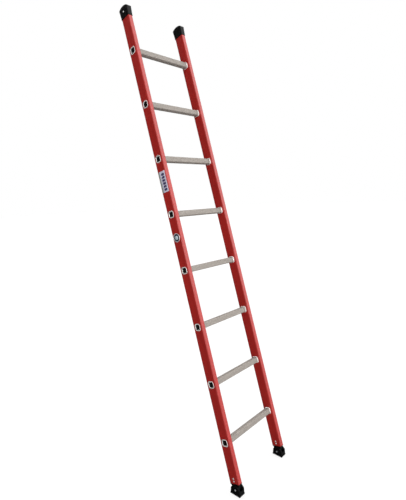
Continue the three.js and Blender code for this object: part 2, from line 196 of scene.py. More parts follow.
def make_piece(name, points, faces, material=None):
    """A mesh object in millimetres with its faces turned outwards."""
    mesh = bpy.data.meshes.new(name)
    shell = bmesh.new()
    vertices = [shell.verts.new(point) for point in points]
    for face in faces:
        shell.faces.new([vertices[i] for i in face])
    bmesh.ops.remove_doubles(shell, verts=shell.verts, dist=1e-4)
    bmesh.ops.recalc_face_normals(shell, faces=shell.faces)
    shell.to_mesh(mesh)
    shell.free()
    piece = bpy.data.objects.new(name, mesh)
    bpy.context.scene.collection.objects.link(piece)
    if material:
        mesh.materials.append(material)
    return piece


def apply_modifiers(piece):
    """Makes the modified mesh the piece's own."""
    graph = bpy.context.evaluated_depsgraph_get()
    piece.data = bpy.data.meshes.new_from_object(piece.evaluated_get(graph))
    piece.modifiers.clear()


def combine(piece, other, operation):
    """Booleans the other piece into this one, and removes the other."""
    change = piece.modifiers.new("boolean", "BOOLEAN")
    change.operation = operation
    change.solver = "EXACT"
    change.object = other
    apply_modifiers(piece)
    bpy.data.objects.remove(other)


def soften(piece, width, segments=2, angle=35):
    """Rounds every edge sharper than the angle."""
    change = piece.modifiers.new("bevel", "BEVEL")
    change.width = width
    change.segments = segments
    change.limit_method = "ANGLE"
    change.angle_limit = math.radians(angle)
    change.use_clamp_overlap = True
    apply_modifiers(piece)


def stand_for(piece, node, body, matrix=TO_ROW):
    """Cleans and shades the piece, puts it in the row frame and lets it replace a CAD node."""
    shell = bmesh.new()
    shell.from_mesh(piece.data)
    bmesh.ops.remove_doubles(shell, verts=shell.verts, dist=SLIVER)
    bmesh.ops.dissolve_degenerate(shell, edges=shell.edges, dist=SLIVER)
    for face in shell.faces:
        face.smooth = True
    for edge in shell.edges:
        edge.smooth = edge.is_manifold and edge.calc_face_angle() < SMOOTH_ANGLE
    shell.to_mesh(piece.data)
    shell.free()
    piece.data.transform(matrix @ Matrix.Scale(MM, 4))
    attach(piece, body)
    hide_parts(node)


def loft(rings, loop=False):
    """Points and faces of a skin over rings of equal length. Open ends are closed by one face each."""
    count = len(rings[0])
    points = [point for ring in rings for point in ring]
    faces = []
    spans = len(rings) if loop else len(rings) - 1
    for k in range(spans):
        here = k * count
        after = (k + 1) % len(rings) * count
        for i in range(count):
            j = (i + 1) % count
            faces.append((here + i, here + j, after + j, after + i))
    if not loop:
        faces.append(tuple(range(count)))
        faces.append(tuple(range(len(points) - count, len(points))))
    return points, faces


def rounded_ring(half_x, half_y, corner, steps, support=0.0, between=0):
    """A rounded rectangle as points.

    With support, each flat gets a point just beside each corner. With between, it gets that many more.
    """
    ring = []
    for quarter, (sign_x, sign_y) in enumerate([(1, 1), (-1, 1), (-1, -1), (1, -1)]):
        centre_x = sign_x * (half_x - corner)
        centre_y = sign_y * (half_y - corner)
        arc = []
        for i in range(steps + 1):
            angle = (quarter + i / steps) * math.pi / 2
            arc.append((centre_x + corner * math.cos(angle), centre_y + corner * math.sin(angle)))
        if support:
            start = quarter * math.pi / 2
            before = (arc[0][0] + support * math.sin(start), arc[0][1] - support * math.cos(start))
            finish = start + math.pi / 2
            after = (arc[-1][0] - support * math.sin(finish), arc[-1][1] + support * math.cos(finish))
            arc = [before, *arc, after]
        ring.extend(arc)
    if not between:
        return ring
    count = len(ring) // 4
    filled = []
    for quarter in range(4):
        filled.extend(ring[quarter * count : (quarter + 1) * count])
        start = Vector(filled[-1])
        end = Vector(ring[(quarter + 1) * count % len(ring)])
        filled.extend(tuple(start.lerp(end, i / (between + 1))) for i in range(1, between + 1))
    return filled


def prism(name, outline, low, high, material=None):
    """A prism along X of an outline in Y and Z."""
    rings = [[(x, y, z) for y, z in outline] for x in (low, high)]
    return make_piece(name, *loft(rings), material)


def upright_prism(name, outline, low, high):
    """A prism along Z of an outline in X and Y."""
    rings = [[(x, y, z) for x, y in outline] for z in (low, high)]
    return make_piece(name, *loft(rings))


def turned(name, profile, segments, material=None, outward=1, centre=(0, 0, 0)):
    """A piece turned round X from a profile of (x, radius), mirrored to face -X if outward is -1."""
    rings = []
    for x, radius in profile:
        ring = []
        for i in range(segments):
            angle = 2 * math.pi * i / segments
            ring.append(
                (
                    centre[0] + outward * x,
                    centre[1] + radius * math.cos(angle),
                    centre[2] + radius * math.sin(angle),
                )
            )
        rings.append(ring)
    return make_piece(name, *loft(rings), material)


def drill(piece, radius, low, high, y, z, segments=40):
    """Cuts a round hole along X."""
    cutter = turned("cutter", [(low, radius), (high, radius)], segments, centre=(0, y, z))
    combine(piece, cutter, "DIFFERENCE")


def bulge(low, high, height, steps):
    """Half an ellipse, as (place, height) from low to high."""
    for i in range(steps + 1):
        angle = math.pi * i / steps
        place = (low + high) / 2 - (high - low) / 2 * math.cos(angle)
        yield place, height * math.sin(angle)


# ---- Materials -----------------------------------------------------------------------------------


class Shades:
    """A material's nodes, made one after another in the material's own coordinates."""

    def __init__(self, name, leaning=True):
        self.material = bpy.data.materials.new(name)
        self.material.use_nodes = True
        self.tree = self.material.node_tree
        self.shader = self.tree.nodes["Principled BSDF"]
        place = self.tree.nodes.new("ShaderNodeTexCoord").outputs["Object"]
        turn = self.tree.nodes.new("ShaderNodeMapping")
        turn.inputs["Rotation"].default_value = (LEAN if leaning else 0, 0, 0)
        self.tree.links.new(place, turn.inputs["Vector"])
        self.place = turn.outputs["Vector"]

    def feed(self, socket, value):
        """Links a node's output to a socket, or sets the socket to a number."""
        if isinstance(value, bpy.types.NodeSocket):
            self.tree.links.new(value, socket)
        else:
            socket.default_value = value

    def set(self, **values):
        """Sets the shader's own sockets, such as Base_Color, to numbers or to nodes."""
        for name, value in values.items():
            self.feed(self.shader.inputs[name.replace("_", " ")], value)

    def stretched(self, x, y, z):
        """The place, scaled by a number of repeats per metre along each axis."""
        scale = self.tree.nodes.new("ShaderNodeMapping")
        scale.inputs["Scale"].default_value = (x, y, z)
        self.tree.links.new(self.place, scale.inputs["Vector"])
        return scale.outputs["Vector"]

    def noise(self, x, y, z, detail=2.0, roughness=0.5):
        """Cloudy noise with a number of repeats per metre along each axis."""
        node = self.tree.nodes.new("ShaderNodeTexNoise")
        node.inputs["Scale"].default_value = 1.0
        node.inputs["Detail"].default_value = detail
        node.inputs["Roughness"].default_value = roughness
        self.tree.links.new(self.stretched(x, y, z), node.inputs["Vector"])
        return node.outputs["Fac"]

    def cells(self, x, y, z):
        """The distance to the middle of the nearest random cell."""
        node = self.tree.nodes.new("ShaderNodeTexVoronoi")
        node.inputs["Scale"].default_value = 1.0
        self.tree.links.new(self.stretched(x, y, z), node.inputs["Vector"])
        return node.outputs["Distance"]

    def ramp(self, value, low, high, start=0.0, end=1.0):
        """Start below low, end above high, and straight between them."""
        node = self.tree.nodes.new("ShaderNodeMapRange")
        node.inputs["From Min"].default_value = low
        node.inputs["From Max"].default_value = high
        node.inputs["To Min"].default_value = start
        node.inputs["To Max"].default_value = end
        self.tree.links.new(value, node.inputs["Value"])
        return node.outputs["Result"]

    def maths(self, operation, first, second=0.0):
        """A calculation with one or two values, which are numbers or nodes."""
        node = self.tree.nodes.new("ShaderNodeMath")
        node.operation = operation
        self.feed(node.inputs[0], first)
        self.feed(node.inputs[1], second)
        return node.outputs["Value"]

    def split(self):
        """The place as three separate values."""
        node = self.tree.nodes.new("ShaderNodeSeparateXYZ")
        self.tree.links.new(self.place, node.inputs["Vector"])
        return node.outputs["X"], node.outputs["Y"], node.outputs["Z"]

    def mix(self, share, first, second):
        """The first colour where the share is 0, and the second where it is 1."""
        node = self.tree.nodes.new("ShaderNodeMix")
        node.data_type = "RGBA"
        sockets = [s for s in node.inputs if s.enabled]
        self.feed(sockets[0], share)
        for socket, colour in zip(sockets[1:], (first, second)):
            is_colour = isinstance(colour, tuple)
            self.feed(socket, (*colour, 1.0) if is_colour else colour)
        return next(s for s in node.outputs if s.enabled)

    def bump(self, height, depth_mm):
        """Fine relief that is too small to be modelled."""
        node = self.tree.nodes.new("ShaderNodeBump")
        node.inputs["Strength"].default_value = 1.0
        node.inputs["Distance"].default_value = depth_mm * MM
        self.tree.links.new(height, node.inputs["Height"])
        self.tree.links.new(node.outputs["Normal"], self.shader.inputs["Normal"])


def stile_material():
    """Pultruded glass-fibre: red resin, long rovings, and the fleck of the surface veil."""
    made = Shades("red_glass_fibre")
    rovings = made.noise(900, 900, 9, detail=3)
    veil = made.noise(520, 520, 160, detail=4, roughness=0.7)
    cloudy = made.noise(14, 14, 3, detail=3)
    red = made.mix(made.ramp(cloudy, 0.3, 0.7), (0.35, 0.0125, 0.0095), (0.42, 0.017, 0.0125))
    streaked = made.mix(made.ramp(rovings, 0.35, 0.75, 0.0, 0.45), red, (0.255, 0.008, 0.006))
    flecked = made.mix(made.ramp(veil, 0.58, 0.78, 0.0, 0.18), streaked, (0.58, 0.045, 0.035))
    made.set(Base_Color=flecked, Roughness=made.ramp(veil, 0.3, 0.75, 0.32, 0.42))
    made.shader.inputs["Specular IOR Level"].default_value = 0.54
    made.bump(made.maths("ADD", rovings, made.maths("MULTIPLY", veil, 0.6)), 0.06)
    return made.material


def rung_material():
    """Mill-finish extrusion: die lines along the rung, and faint handling marks."""
    made = Shades("mill_aluminium")
    die_lines = made.noise(5, 1500, 1500, detail=2)
    smudge = made.noise(25, 90, 90, detail=3)
    metal = made.mix(made.ramp(die_lines, 0.3, 0.7), (0.245, 0.22, 0.197), (0.315, 0.286, 0.258))
    dulled = made.mix(made.ramp(smudge, 0.45, 0.75, 0.0, 0.15), metal, (0.20, 0.178, 0.157))
    rough = made.ramp(smudge, 0.3, 0.7, 0.58, 0.63)
    rough = made.maths("ADD", rough, made.ramp(die_lines, 0.2, 0.8, 0.0, 0.08))
    made.set(Base_Color=dulled, Roughness=rough)
    made.shader.inputs["Metallic"].default_value = 0.35
    made.bump(die_lines, 0.03)
    return made.material


def swage_material():
    """The rung's pressed rims and collars: their near-white base colour is a painted sheen that stands for
    their bright reflection, mottled at random.
    """
    made = Shades("collar_painted_sheen")
    sheen_mottle = made.noise(160, 420, 420, detail=3)
    metal = made.mix(made.ramp(sheen_mottle, 0.3, 0.7), (0.88, 0.85, 0.82), (0.96, 0.94, 0.91))
    made.set(Base_Color=metal, Roughness=made.ramp(sheen_mottle, 0.3, 0.7, 0.26, 0.36))
    made.shader.inputs["Metallic"].default_value = 0.45
    made.bump(sheen_mottle, 0.02)
    return made.material


def bore_material():
    """The rung's inside, painted near-black as shade, and mottled by dust."""
    made = Shades("bore_painted_shade")
    dust = made.noise(60, 300, 300, detail=4)
    dark = made.mix(made.ramp(dust, 0.3, 0.7), (0.008, 0.0075, 0.007), (0.02, 0.019, 0.0175))
    made.set(Base_Color=dark, Roughness=made.ramp(dust, 0.3, 0.7, 0.7, 0.85))
    made.shader.inputs["Metallic"].default_value = 0.3
    made.bump(dust, 0.03)
    return made.material


def moulding_material(name, leaning, shine):
    """Black injection moulding with a spark-eroded grain. The shine is its specular level."""
    made = Shades(name, leaning)
    grain = made.noise(1700, 1700, 1700, detail=3, roughness=0.65)
    bloom = made.noise(60, 60, 60, detail=3)
    black = made.mix(made.ramp(bloom, 0.3, 0.75), (0.003, 0.003, 0.0033), (0.006, 0.006, 0.0064))
    made.set(Base_Color=black, Roughness=made.ramp(grain, 0.3, 0.7, 0.34, 0.46))
    made.shader.inputs["Specular IOR Level"].default_value = shine
    made.bump(grain, 0.04)
    return made.material


def rubber_material():
    """Black tread rubber, greyed by dust in places."""
    made = Shades("tread_rubber", leaning=False)
    grain = made.noise(900, 900, 900, detail=4, roughness=0.7)
    dust = made.noise(110, 110, 160, detail=5, roughness=0.7)
    black = made.mix(made.ramp(dust, 0.5, 0.8, 0.0, 0.5), (0.005, 0.005, 0.005), (0.018, 0.017, 0.016))
    made.set(Base_Color=black, Roughness=made.ramp(grain, 0.3, 0.7, 0.75, 0.92))
    made.shader.inputs["Specular IOR Level"].default_value = 0.2
    made.bump(grain, 0.12)
    return made.material


def plated_material(name, leaning, bright, dark, metallic):
    """Plated metal with a slight spangle and fine scratches."""
    made = Shades(name, leaning)
    spangle = made.cells(700, 700, 700)
    scratches = made.noise(300, 2600, 2600, detail=2)
    metal = made.mix(made.ramp(spangle, 0.1, 0.8), bright, dark)
    made.set(Base_Color=metal, Roughness=made.ramp(scratches, 0.3, 0.75, 0.24, 0.4))
    made.shader.inputs["Metallic"].default_value = metallic
    made.bump(scratches, 0.012)
    return made.material


def nylon_material():
    """The lock nut's insert ring."""
    made = Shades("nut_nylon", leaning=False)
    cloud = made.noise(900, 900, 900, detail=3)
    blue = made.mix(made.ramp(cloud, 0.3, 0.7), (0.035, 0.05, 0.10), (0.05, 0.07, 0.13))
    made.set(Base_Color=blue, Roughness=made.ramp(cloud, 0.3, 0.7, 0.4, 0.55))
    made.bump(cloud, 0.02)
    return made.material


def label_material(low, high):
    """Pale film with a grey-green strip along its back edge and a column of plain dark blocks."""
    made = Shades("label_film")
    place = made.split()
    centre = TO_ROW.to_3x3().transposed() @ (TO_ROW @ ((low + high) / 2 * MM))
    half_depth = (high.y - low.y) / 2 * MM
    half_height = (high.z - low.z) / 2 * MM
    across = made.maths("DIVIDE", made.maths("SUBTRACT", place[1], centre.y), half_depth)
    along = made.maths("DIVIDE", made.maths("SUBTRACT", place[2], centre.z), half_height)
    fine = made.noise(1500, 1500, 1500, detail=2)
    wash = made.noise(30, 60, 60, detail=3)
    film = made.mix(made.ramp(wash, 0.3, 0.7), (0.56, 0.53, 0.66), (0.66, 0.63, 0.75))
    strip = made.ramp(across, 0.5, 0.72)
    striped = made.mix(strip, film, (0.26, 0.31, 0.29))
    from_column = made.maths("ABSOLUTE", made.maths("ADD", across, 0.2))
    beat = made.maths("FRACT", made.maths("MULTIPLY", along, 3.5))
    blocks = made.maths("LESS_THAN", beat, 0.76)
    narrow = made.maths("LESS_THAN", made.maths("FRACT", made.maths("MULTIPLY", along, 7.0)), 0.5)
    half_width = made.ramp(narrow, 0.0, 1.0, 0.52, 0.4)
    band = made.maths("LESS_THAN", from_column, half_width)
    inside = made.maths("LESS_THAN", made.maths("ABSOLUTE", along), 0.86)
    ink = made.maths("MULTIPLY", made.maths("MULTIPLY", blocks, band), inside)
    printed = made.mix(made.maths("MULTIPLY", ink, 0.95), striped, (0.02, 0.016, 0.085))
    made.set(Base_Color=printed, Roughness=made.ramp(fine, 0.3, 0.7, 0.28, 0.4))
    made.shader.inputs["Coat Weight"].default_value = 0.3
    made.shader.inputs["Coat Roughness"].default_value = 0.15
    made.bump(fine, 0.01)
    return made.material


def badge_material(name, light, dark, roughness, metallic):
    """One finish of the badge: rim, ring or dome."""
    made = Shades(name)
    brushed = made.noise(600, 600, 600, detail=4, roughness=0.7)
    colour = made.mix(made.ramp(brushed, 0.3, 0.7), light, dark)
    made.set(Base_Color=colour, Roughness=made.ramp(brushed, 0.3, 0.7, roughness, roughness + 0.12))
    made.shader.inputs["Metallic"].default_value = metallic
    made.bump(brushed, 0.02)
    return made.material


STILE = stile_material()
RUNG = rung_material()
SWAGE = swage_material()
BORE = bore_material()
MOULDING = moulding_material("black_moulding", True, 0.09)
SHOE_MOULDING = moulding_material("black_shoe_moulding", False, 0.025)
RUBBER = rubber_material()
RIVET_METAL = plated_material("rivet_metal", True, (0.86, 0.84, 0.83), (0.74, 0.72, 0.71), 0.5)
BOLT_STEEL = plated_material("bolt_steel", False, (0.66, 0.665, 0.68), (0.54, 0.545, 0.56), 0.6)
NUT_STEEL = plated_material("nut_steel", False, (0.15, 0.15, 0.155), (0.10, 0.10, 0.105), 0.7)
NYLON = nylon_material()


# ---- Stiles and rungs ----------------------------------------------------------------------------


def rung_heights():
    """How far up the stiles each rung's middle is."""
    return [(own_box(f"rung_{i}")[0].z + own_box(f"rung_{i}")[1].z) / 2 for i in range(1, 9)]


RUNG_HEIGHTS = rung_heights()
RUNG_HALF = (own_box("rung_1")[1].z - own_box("rung_1")[0].z) / 2 - FLARE_PROUD
RIVET_NAMES = [f"{face}_{i}" for face in ("outer", "inner") for i in (1, 2)]


def make_stile(side):
    """A box section with broken edges at its ends, cut through by the rungs."""
    low, high = own_box(f"stile_{side}")
    centre = (low + high) / 2
    half_x = (high.x - low.x) / 2
    half_y = (high.y - low.y) / 2
    outer = rounded_ring(half_x, half_y, STILE_CORNER, 8, SUPPORT)
    inner = rounded_ring(half_x - STILE_WALL, half_y - STILE_WALL, STILE_INNER_CORNER, 8, SUPPORT)
    edge = STILE_EDGE
    trimmed = rounded_ring(half_x - edge, half_y - edge, STILE_CORNER - edge, 8, SUPPORT)
    levels = [
        (trimmed, low.z),
        (outer, low.z + edge),
        (outer, high.z - edge),
        (trimmed, high.z),
        (inner, high.z),
        (inner, low.z),
    ]
    rings = [[(centre.x + x, centre.y + y, z) for x, y in ring] for ring, z in levels]
    stile = make_piece(f"stile_{side}_box_section", *loft(rings, loop=True), STILE)
    hole = rounded_ring(RUNG_HALF + GAP, RUNG_HALF + GAP, RUNG_CORNER + GAP, 8)
    for height in RUNG_HEIGHTS:
        outline = [(y, height + z) for y, z in hole]
        cutter = prism("cutter", outline, low.x - 1, high.x + 1)
        combine(stile, cutter, "DIFFERENCE")
    stand_for(stile, f"stile_{side}", "ladder")


def ribbed_ring(half, corner, rib):
    """A rounded square whose flats carry small square-edged ribs, rib millimetres high."""
    steps = 6
    flat = 2 * (half - corner)
    pitch = flat / RIBS_PER_FACE
    ring = []
    for quarter in range(4):
        turn = Matrix.Rotation(quarter * math.pi / 2, 2)
        for i in range(steps + 1):
            angle = i / steps * math.pi / 2
            point = Vector((half - corner, half - corner))
            point += (corner - rib) * Vector((math.cos(angle), math.sin(angle)))
            ring.append(turn @ point)
        for k in range(RIBS_PER_FACE):
            for share, up in RIB_SHAPE:
                along = half - corner - (k + share) * pitch
                ring.append(turn @ Vector((along, half - rib * (1 - up))))
    return ring


def rung_stations(outer_face, inner_face, end):
    """The rung's right half, from its middle out to the end and back down the bore."""
    bore = RUNG_HALF - RUNG_WALL
    collar_start = inner_face - COLLAR_LENGTH - COLLAR_OVERRUN
    stations = [(0, RUNG_HALF, RUNG_CORNER, RIB_HEIGHT)]
    stations.append((collar_start - 2, RUNG_HALF, RUNG_CORNER, RIB_HEIGHT))
    for x, height in bulge(collar_start, inner_face + COLLAR_OVERRUN, COLLAR_PROUD, 12):
        if x < inner_face:
            corner = RUNG_CORNER + (COLLAR_CORNER - RUNG_CORNER) * height / COLLAR_PROUD
            stations.append((x, RUNG_HALF + height, corner, 0))
    stations.append((inner_face + 0.2, RUNG_HALF, RUNG_CORNER, 0))
    stations.append((outer_face - 0.2, RUNG_HALF, RUNG_CORNER, 0))
    lip = (end - outer_face) / 2
    for i in range(7):
        angle = math.pi * i / 6
        out = RUNG_HALF + FLARE_PROUD - lip + lip * math.sin(angle)
        x = outer_face + lip - lip * math.cos(angle)
        stations.append((x, out, FLARE_CORNER + out - RUNG_HALF - FLARE_PROUD, 0))
    for i in range(1, 7):
        angle = math.pi / 2 * i / 6
        half = bore + BORE_FLARE * (1 - math.sin(angle))
        x = end - BORE_FLARE_LENGTH * (1 - math.cos(angle))
        corner = RUNG_CORNER - RUNG_WALL + 1.6 * (half - bore)
        stations.append((x, half, corner, 0))
    return stations


def make_rung(number):
    """A ribbed tube, swaged into a collar and flared over at each stile, and painted dark inside as shade.
    """
    low, high = own_box(f"rung_{number}")
    stile_low, stile_high = own_box("stile_right")
    half = rung_stations(stile_high.x + 0.05, stile_low.x - 0.05, high.x)
    stations = half + [(-x, *rest) for x, *rest in reversed(half[1:])]
    height = (low.z + high.z) / 2
    rings = []
    for x, size, corner, rib in stations:
        rings.append([(x, y, height + z) for y, z in ribbed_ring(size, corner, rib)])
    rung = make_piece(f"rung_{number}_ribbed_tube", *loft(rings, loop=True), RUNG)
    rung.data.materials.append(SWAGE)
    rung.data.materials.append(BORE)
    # Faces near the stiles take the collars' painted sheen
    collar_start = stile_low.x - COLLAR_LENGTH - 1.0
    # Faces turned to the axis take the bore's painted shade
    for face in rung.data.polygons:
        from_axis = face.center - Vector((face.center.x, 0, height))
        faces_axis = face.normal.dot(from_axis) < 0
        x = abs(face.center.x)
        if faces_axis and x < high.x - BORE_SETBACK:
            face.material_index = 2
        elif x > collar_start:
            face.material_index = 1
    stand_for(rung, f"rung_{number}", "ladder")


# ---- Caps ----------------------------------------------------------------------------------------


def make_cap(side):
    """A moulded cap: socket, rolled lip, widening walls and an arched top with a rounded edge."""
    low, high = own_box(f"top_cap_{side}")
    centre = (low + high) / 2
    height = high.z - low.z
    base_x = (high.x - low.x) / 2 - CAP_WIDEN
    base_y = (high.y - low.y) / 2 - CAP_FLARE
    stile_low, stile_high = own_box(f"stile_{side}")
    half_chord = (high.y - low.y) / 2
    radius = (half_chord**2 + CAP_ARCH**2) / (2 * CAP_ARCH)

    def top_at(y):
        """The arch's height this far from its middle."""
        return high.z - radius + math.sqrt(radius**2 - y**2)

    def section(share, inset):
        """The outline this share of the way up, drawn in by the inset."""
        half_x = base_x + share * CAP_WIDEN - inset
        half_y = base_y + share * CAP_FLARE - inset
        corner = CAP_CORNER - min(inset, 1.5)
        return rounded_ring(half_x, half_y, corner, 8, SUPPORT, CAP_TOP_STEPS)

    socket_x = (stile_high.x - stile_low.x) / 2 + GAP
    socket_y = (stile_high.y - stile_low.y) / 2 + GAP
    socket = rounded_ring(socket_x, socket_y, STILE_CORNER + GAP, 8, SUPPORT, CAP_TOP_STEPS)
    rings = [[(0, 0, stile_high.z + GAP)] * len(socket)]
    rings.append([(x, y, stile_high.z + GAP) for x, y in socket])
    rings.append([(x, y, low.z + 0.4) for x, y in socket])
    for i in range(5):
        angle = math.pi / 2 * i / 4
        inset = CAP_EDGE * (1 - math.sin(angle))
        z = low.z + CAP_EDGE - CAP_EDGE * math.cos(angle)
        rings.append([(x, y, z) for x, y in section(0, inset)])
    lip_share = CAP_LIP / height
    rings.append([(x, y, low.z + CAP_LIP) for x, y in section(lip_share, 0)])
    wall_start = low.z + CAP_LIP + CAP_LIP_SLOPE
    rings.append([(x, y, wall_start) for x, y in section(lip_share, CAP_LIP_STEP)])
    for share in (0.3, 0.55, 0.8, 1.0):
        ring = []
        for x, y in section(share, CAP_LIP_STEP):
            wall_top = top_at(y) - CAP_FILLET
            climbed = (wall_top - wall_start) * (share - lip_share) / (1 - lip_share)
            ring.append((x, y, wall_start + climbed))
        rings.append(ring)
    for i in range(1, 7):
        angle = math.pi / 2 * i / 6
        inset = CAP_LIP_STEP + CAP_FILLET * (1 - math.cos(angle))
        drop = CAP_FILLET * (1 - math.sin(angle))
        rings.append([(x, y, top_at(y) - drop) for x, y in section(1, inset)])
    for shrink in (0.97, 0.85, 0.65, 0.4, 0.15, 0):
        inner = section(1, CAP_LIP_STEP + CAP_FILLET)
        rings.append([(x * shrink, y * shrink, top_at(y * shrink)) for x, y in inner])
    rings = [[(centre.x + x, centre.y + y, z) for x, y, z in ring] for ring in rings]
    cap = make_piece(f"top_cap_{side}_moulding", *loft(rings), MOULDING)
    rivet_low, rivet_high = own_box(f"cap_rivet_{side}")
    outward = SIDES[side]
    head = rivet_high.x if outward > 0 else rivet_low.x
    seat = head - outward * CAP_RIVET_SEAT_DEPTH
    ends = sorted((seat, head + outward * 3))
    drill(cap, CAP_RIVET_SEAT_RADIUS, *ends, 0, (rivet_low.z + rivet_high.z) / 2)
    stand_for(cap, f"top_cap_{side}", "ladder")


# ---- Feet ----------------------------------------------------------------------------------------


def tangent_angle(corner, radius, outside):
    """Where the line from a corner (y, z) touches a circle on the pivot, as an angle from +Y."""
    reach = math.hypot(*corner)
    spread = math.acos(radius / reach)
    from_vertical = math.atan2(*corner) + (spread if outside else -spread)
    return math.pi / 2 - from_vertical


def knuckle_outline(top):
    """The knuckle: a round end on the pivot, and sides that run tangent from it up to the rim."""
    start = tangent_angle((KNUCKLE_HALF_DEPTH, top), KNUCKLE_RADIUS, True)
    outline = [(-KNUCKLE_HALF_DEPTH, top)]
    steps = 32
    for i in range(steps + 1):
        angle = math.pi - start + (math.pi + 2 * start) * i / steps
        outline.append((KNUCKLE_RADIUS * math.cos(angle), KNUCKLE_RADIUS * math.sin(angle)))
    outline.append((KNUCKLE_HALF_DEPTH, top))
    return outline


def make_insert(side):
    """The stile's lower end piece: a hollow plug, a collar and the knuckle that the shoe turns on."""
    node = f"foot_insert_{side}"
    low, high = own_box(node)
    x = (low.x + high.x) / 2
    stile_low, stile_high = own_box(f"stile_{side}")
    half_x = (stile_high.x - stile_low.x) / 2 + INSERT_RIM_PROUD
    half_y = (stile_high.y - stile_low.y) / 2 + INSERT_RIM_PROUD
    underside = stile_low.z - GAP - INSERT_RIM_THICKNESS
    levels = []
    for i in range(5):
        angle = math.pi / 2 * i / 4
        inset = INSERT_RIM_FILLET * (1 - math.sin(angle))
        levels.append((inset, underside + INSERT_RIM_FILLET * (1 - math.cos(angle))))
    levels += [(0, stile_low.z - GAP - INSERT_RIM_EDGE), (INSERT_RIM_EDGE, stile_low.z - GAP)]
    rim_corner = STILE_CORNER + INSERT_RIM_PROUD
    rings = []
    for inset, z in levels:
        ring = rounded_ring(half_x - inset, half_y - inset, rim_corner - inset, 8, SUPPORT)
        rings.append([(x + px, py, z) for px, py in ring])
    insert = make_piece(f"foot_insert_{side}_moulding", *loft(rings), MOULDING)
    knuckle = prism(
        "knuckle",
        knuckle_outline(underside + 1.5),
        x - KNUCKLE_HALF_WIDTH,
        x + KNUCKLE_HALF_WIDTH,
    )
    soften(knuckle, 1.0, 3)
    combine(insert, knuckle, "UNION")
    plug_x = (stile_high.x - stile_low.x) / 2 - STILE_WALL - GAP
    plug_y = (stile_high.y - stile_low.y) / 2 - STILE_WALL - GAP
    plug = rounded_ring(plug_x, plug_y, PLUG_CORNER, 3)
    plug_at = [(x + px, py) for px, py in plug]
    combine(insert, upright_prism("plug", plug_at, stile_low.z - 1, high.z), "UNION")
    pocket = [(x + px * POCKET_SHARE[0], py * POCKET_SHARE[1]) for px, py in plug]
    combine(insert, upright_prism("pocket", pocket, stile_low.z + 2, high.z + 5), "DIFFERENCE")
    drill(insert, BOLT_RADIUS + GAP, x - 20, x + 20, 0, 0)
    stand_for(insert, node, "ladder")


def cheek_outline(half_depth, bottom, inset=0.0):
    """A cheek: sides that lean in, then shoulders that run tangent into a round top on the pivot."""
    radius = CHEEK_RADIUS - inset
    shoulder = (SHOULDER_HALF_DEPTH - inset, SHOULDER_HEIGHT - inset * 0.5)
    start = tangent_angle(shoulder, radius, False)
    outline = [(inset - half_depth, bottom + inset), (half_depth - inset, bottom + inset), shoulder]
    steps = 24
    for i in range(steps + 1):
        angle = start + (math.pi - 2 * start) * i / steps
        outline.append((radius * math.cos(angle), radius * math.sin(angle)))
    outline.append((-shoulder[0], shoulder[1]))
    return outline


def cut_cheek_panel(shoe, x, outward, half_width, half_depth, bottom):
    """Sinks a cheek's outer face round a raised border, a boss on the pivot and four ribs."""
    face = x + outward * half_width
    floor = face - outward * PANEL_DEPTH
    ends = sorted((floor, face + outward * 2))
    panel = prism("panel", cheek_outline(half_depth, bottom, PANEL_BORDER), *ends)
    boss = turned("boss", [(ends[0] - 1, BOSS_RADIUS), (ends[1] + 1, BOSS_RADIUS)], 48)
    combine(panel, boss, "DIFFERENCE")
    for angle in PANEL_RIB_ANGLES:
        corners = [(0, -PANEL_RIB_HALF), (PANEL_RIB_REACH, -PANEL_RIB_HALF)]
        corners += [(PANEL_RIB_REACH, PANEL_RIB_HALF), (0, PANEL_RIB_HALF)]
        rib = prism("rib", corners, ends[0] - 1, ends[1] + 1)
        rib.data.transform(Matrix.Rotation(math.radians(angle), 4, "X"))
        combine(panel, rib, "DIFFERENCE")
    combine(shoe, panel, "DIFFERENCE")


def make_shoe(side):
    """A forked shoe: two panelled cheeks, an open slot for the knuckle, and bumpers that stop it."""
    node = f"foot_shoe_{side}"
    low, high = own_box(node, UPRIGHT)
    x = (low.x + high.x) / 2
    half_width = (high.x - low.x) / 2
    half_depth = (high.y - low.y) / 2
    outline = cheek_outline(half_depth, low.z)
    shoe = prism(f"foot_shoe_{side}_moulding", outline, low.x, high.x, SHOE_MOULDING)
    soften(shoe, 1.6, 4)
    well_half = half_depth - BUMPER_THICKNESS
    well = rounded_ring(CHEEK_INSIDE, well_half, 2.5, 5)
    well_at = [(x + px, py) for px, py in well]
    plate_top = low.z + SHOE_PLATE
    combine(shoe, upright_prism("well", well_at, plate_top, high.z + 5), "DIFFERENCE")
    slot = rounded_ring(CHEEK_INSIDE, half_depth * 2, 0.4, 2)
    slot_at = [(x + px, py) for px, py in slot]
    combine(shoe, upright_prism("slot", slot_at, BUMPER_TOP, high.z + 5), "DIFFERENCE")
    for outward in (-1, 1):
        cut_cheek_panel(shoe, x, outward, half_width, half_depth, low.z)
        face = x + outward * half_width
        ends = sorted((face - outward * RECESS_DEPTH, face + outward * 2))
        drill(shoe, RECESS_RADIUS, *ends, 0, 0)
    drill(shoe, BOLT_RADIUS + GAP, low.x - 1, high.x + 1, 0, 0)
    soften(shoe, 0.35, 2, angle=50)
    stand_for(shoe, node, f"{side}_foot", UPRIGHT)


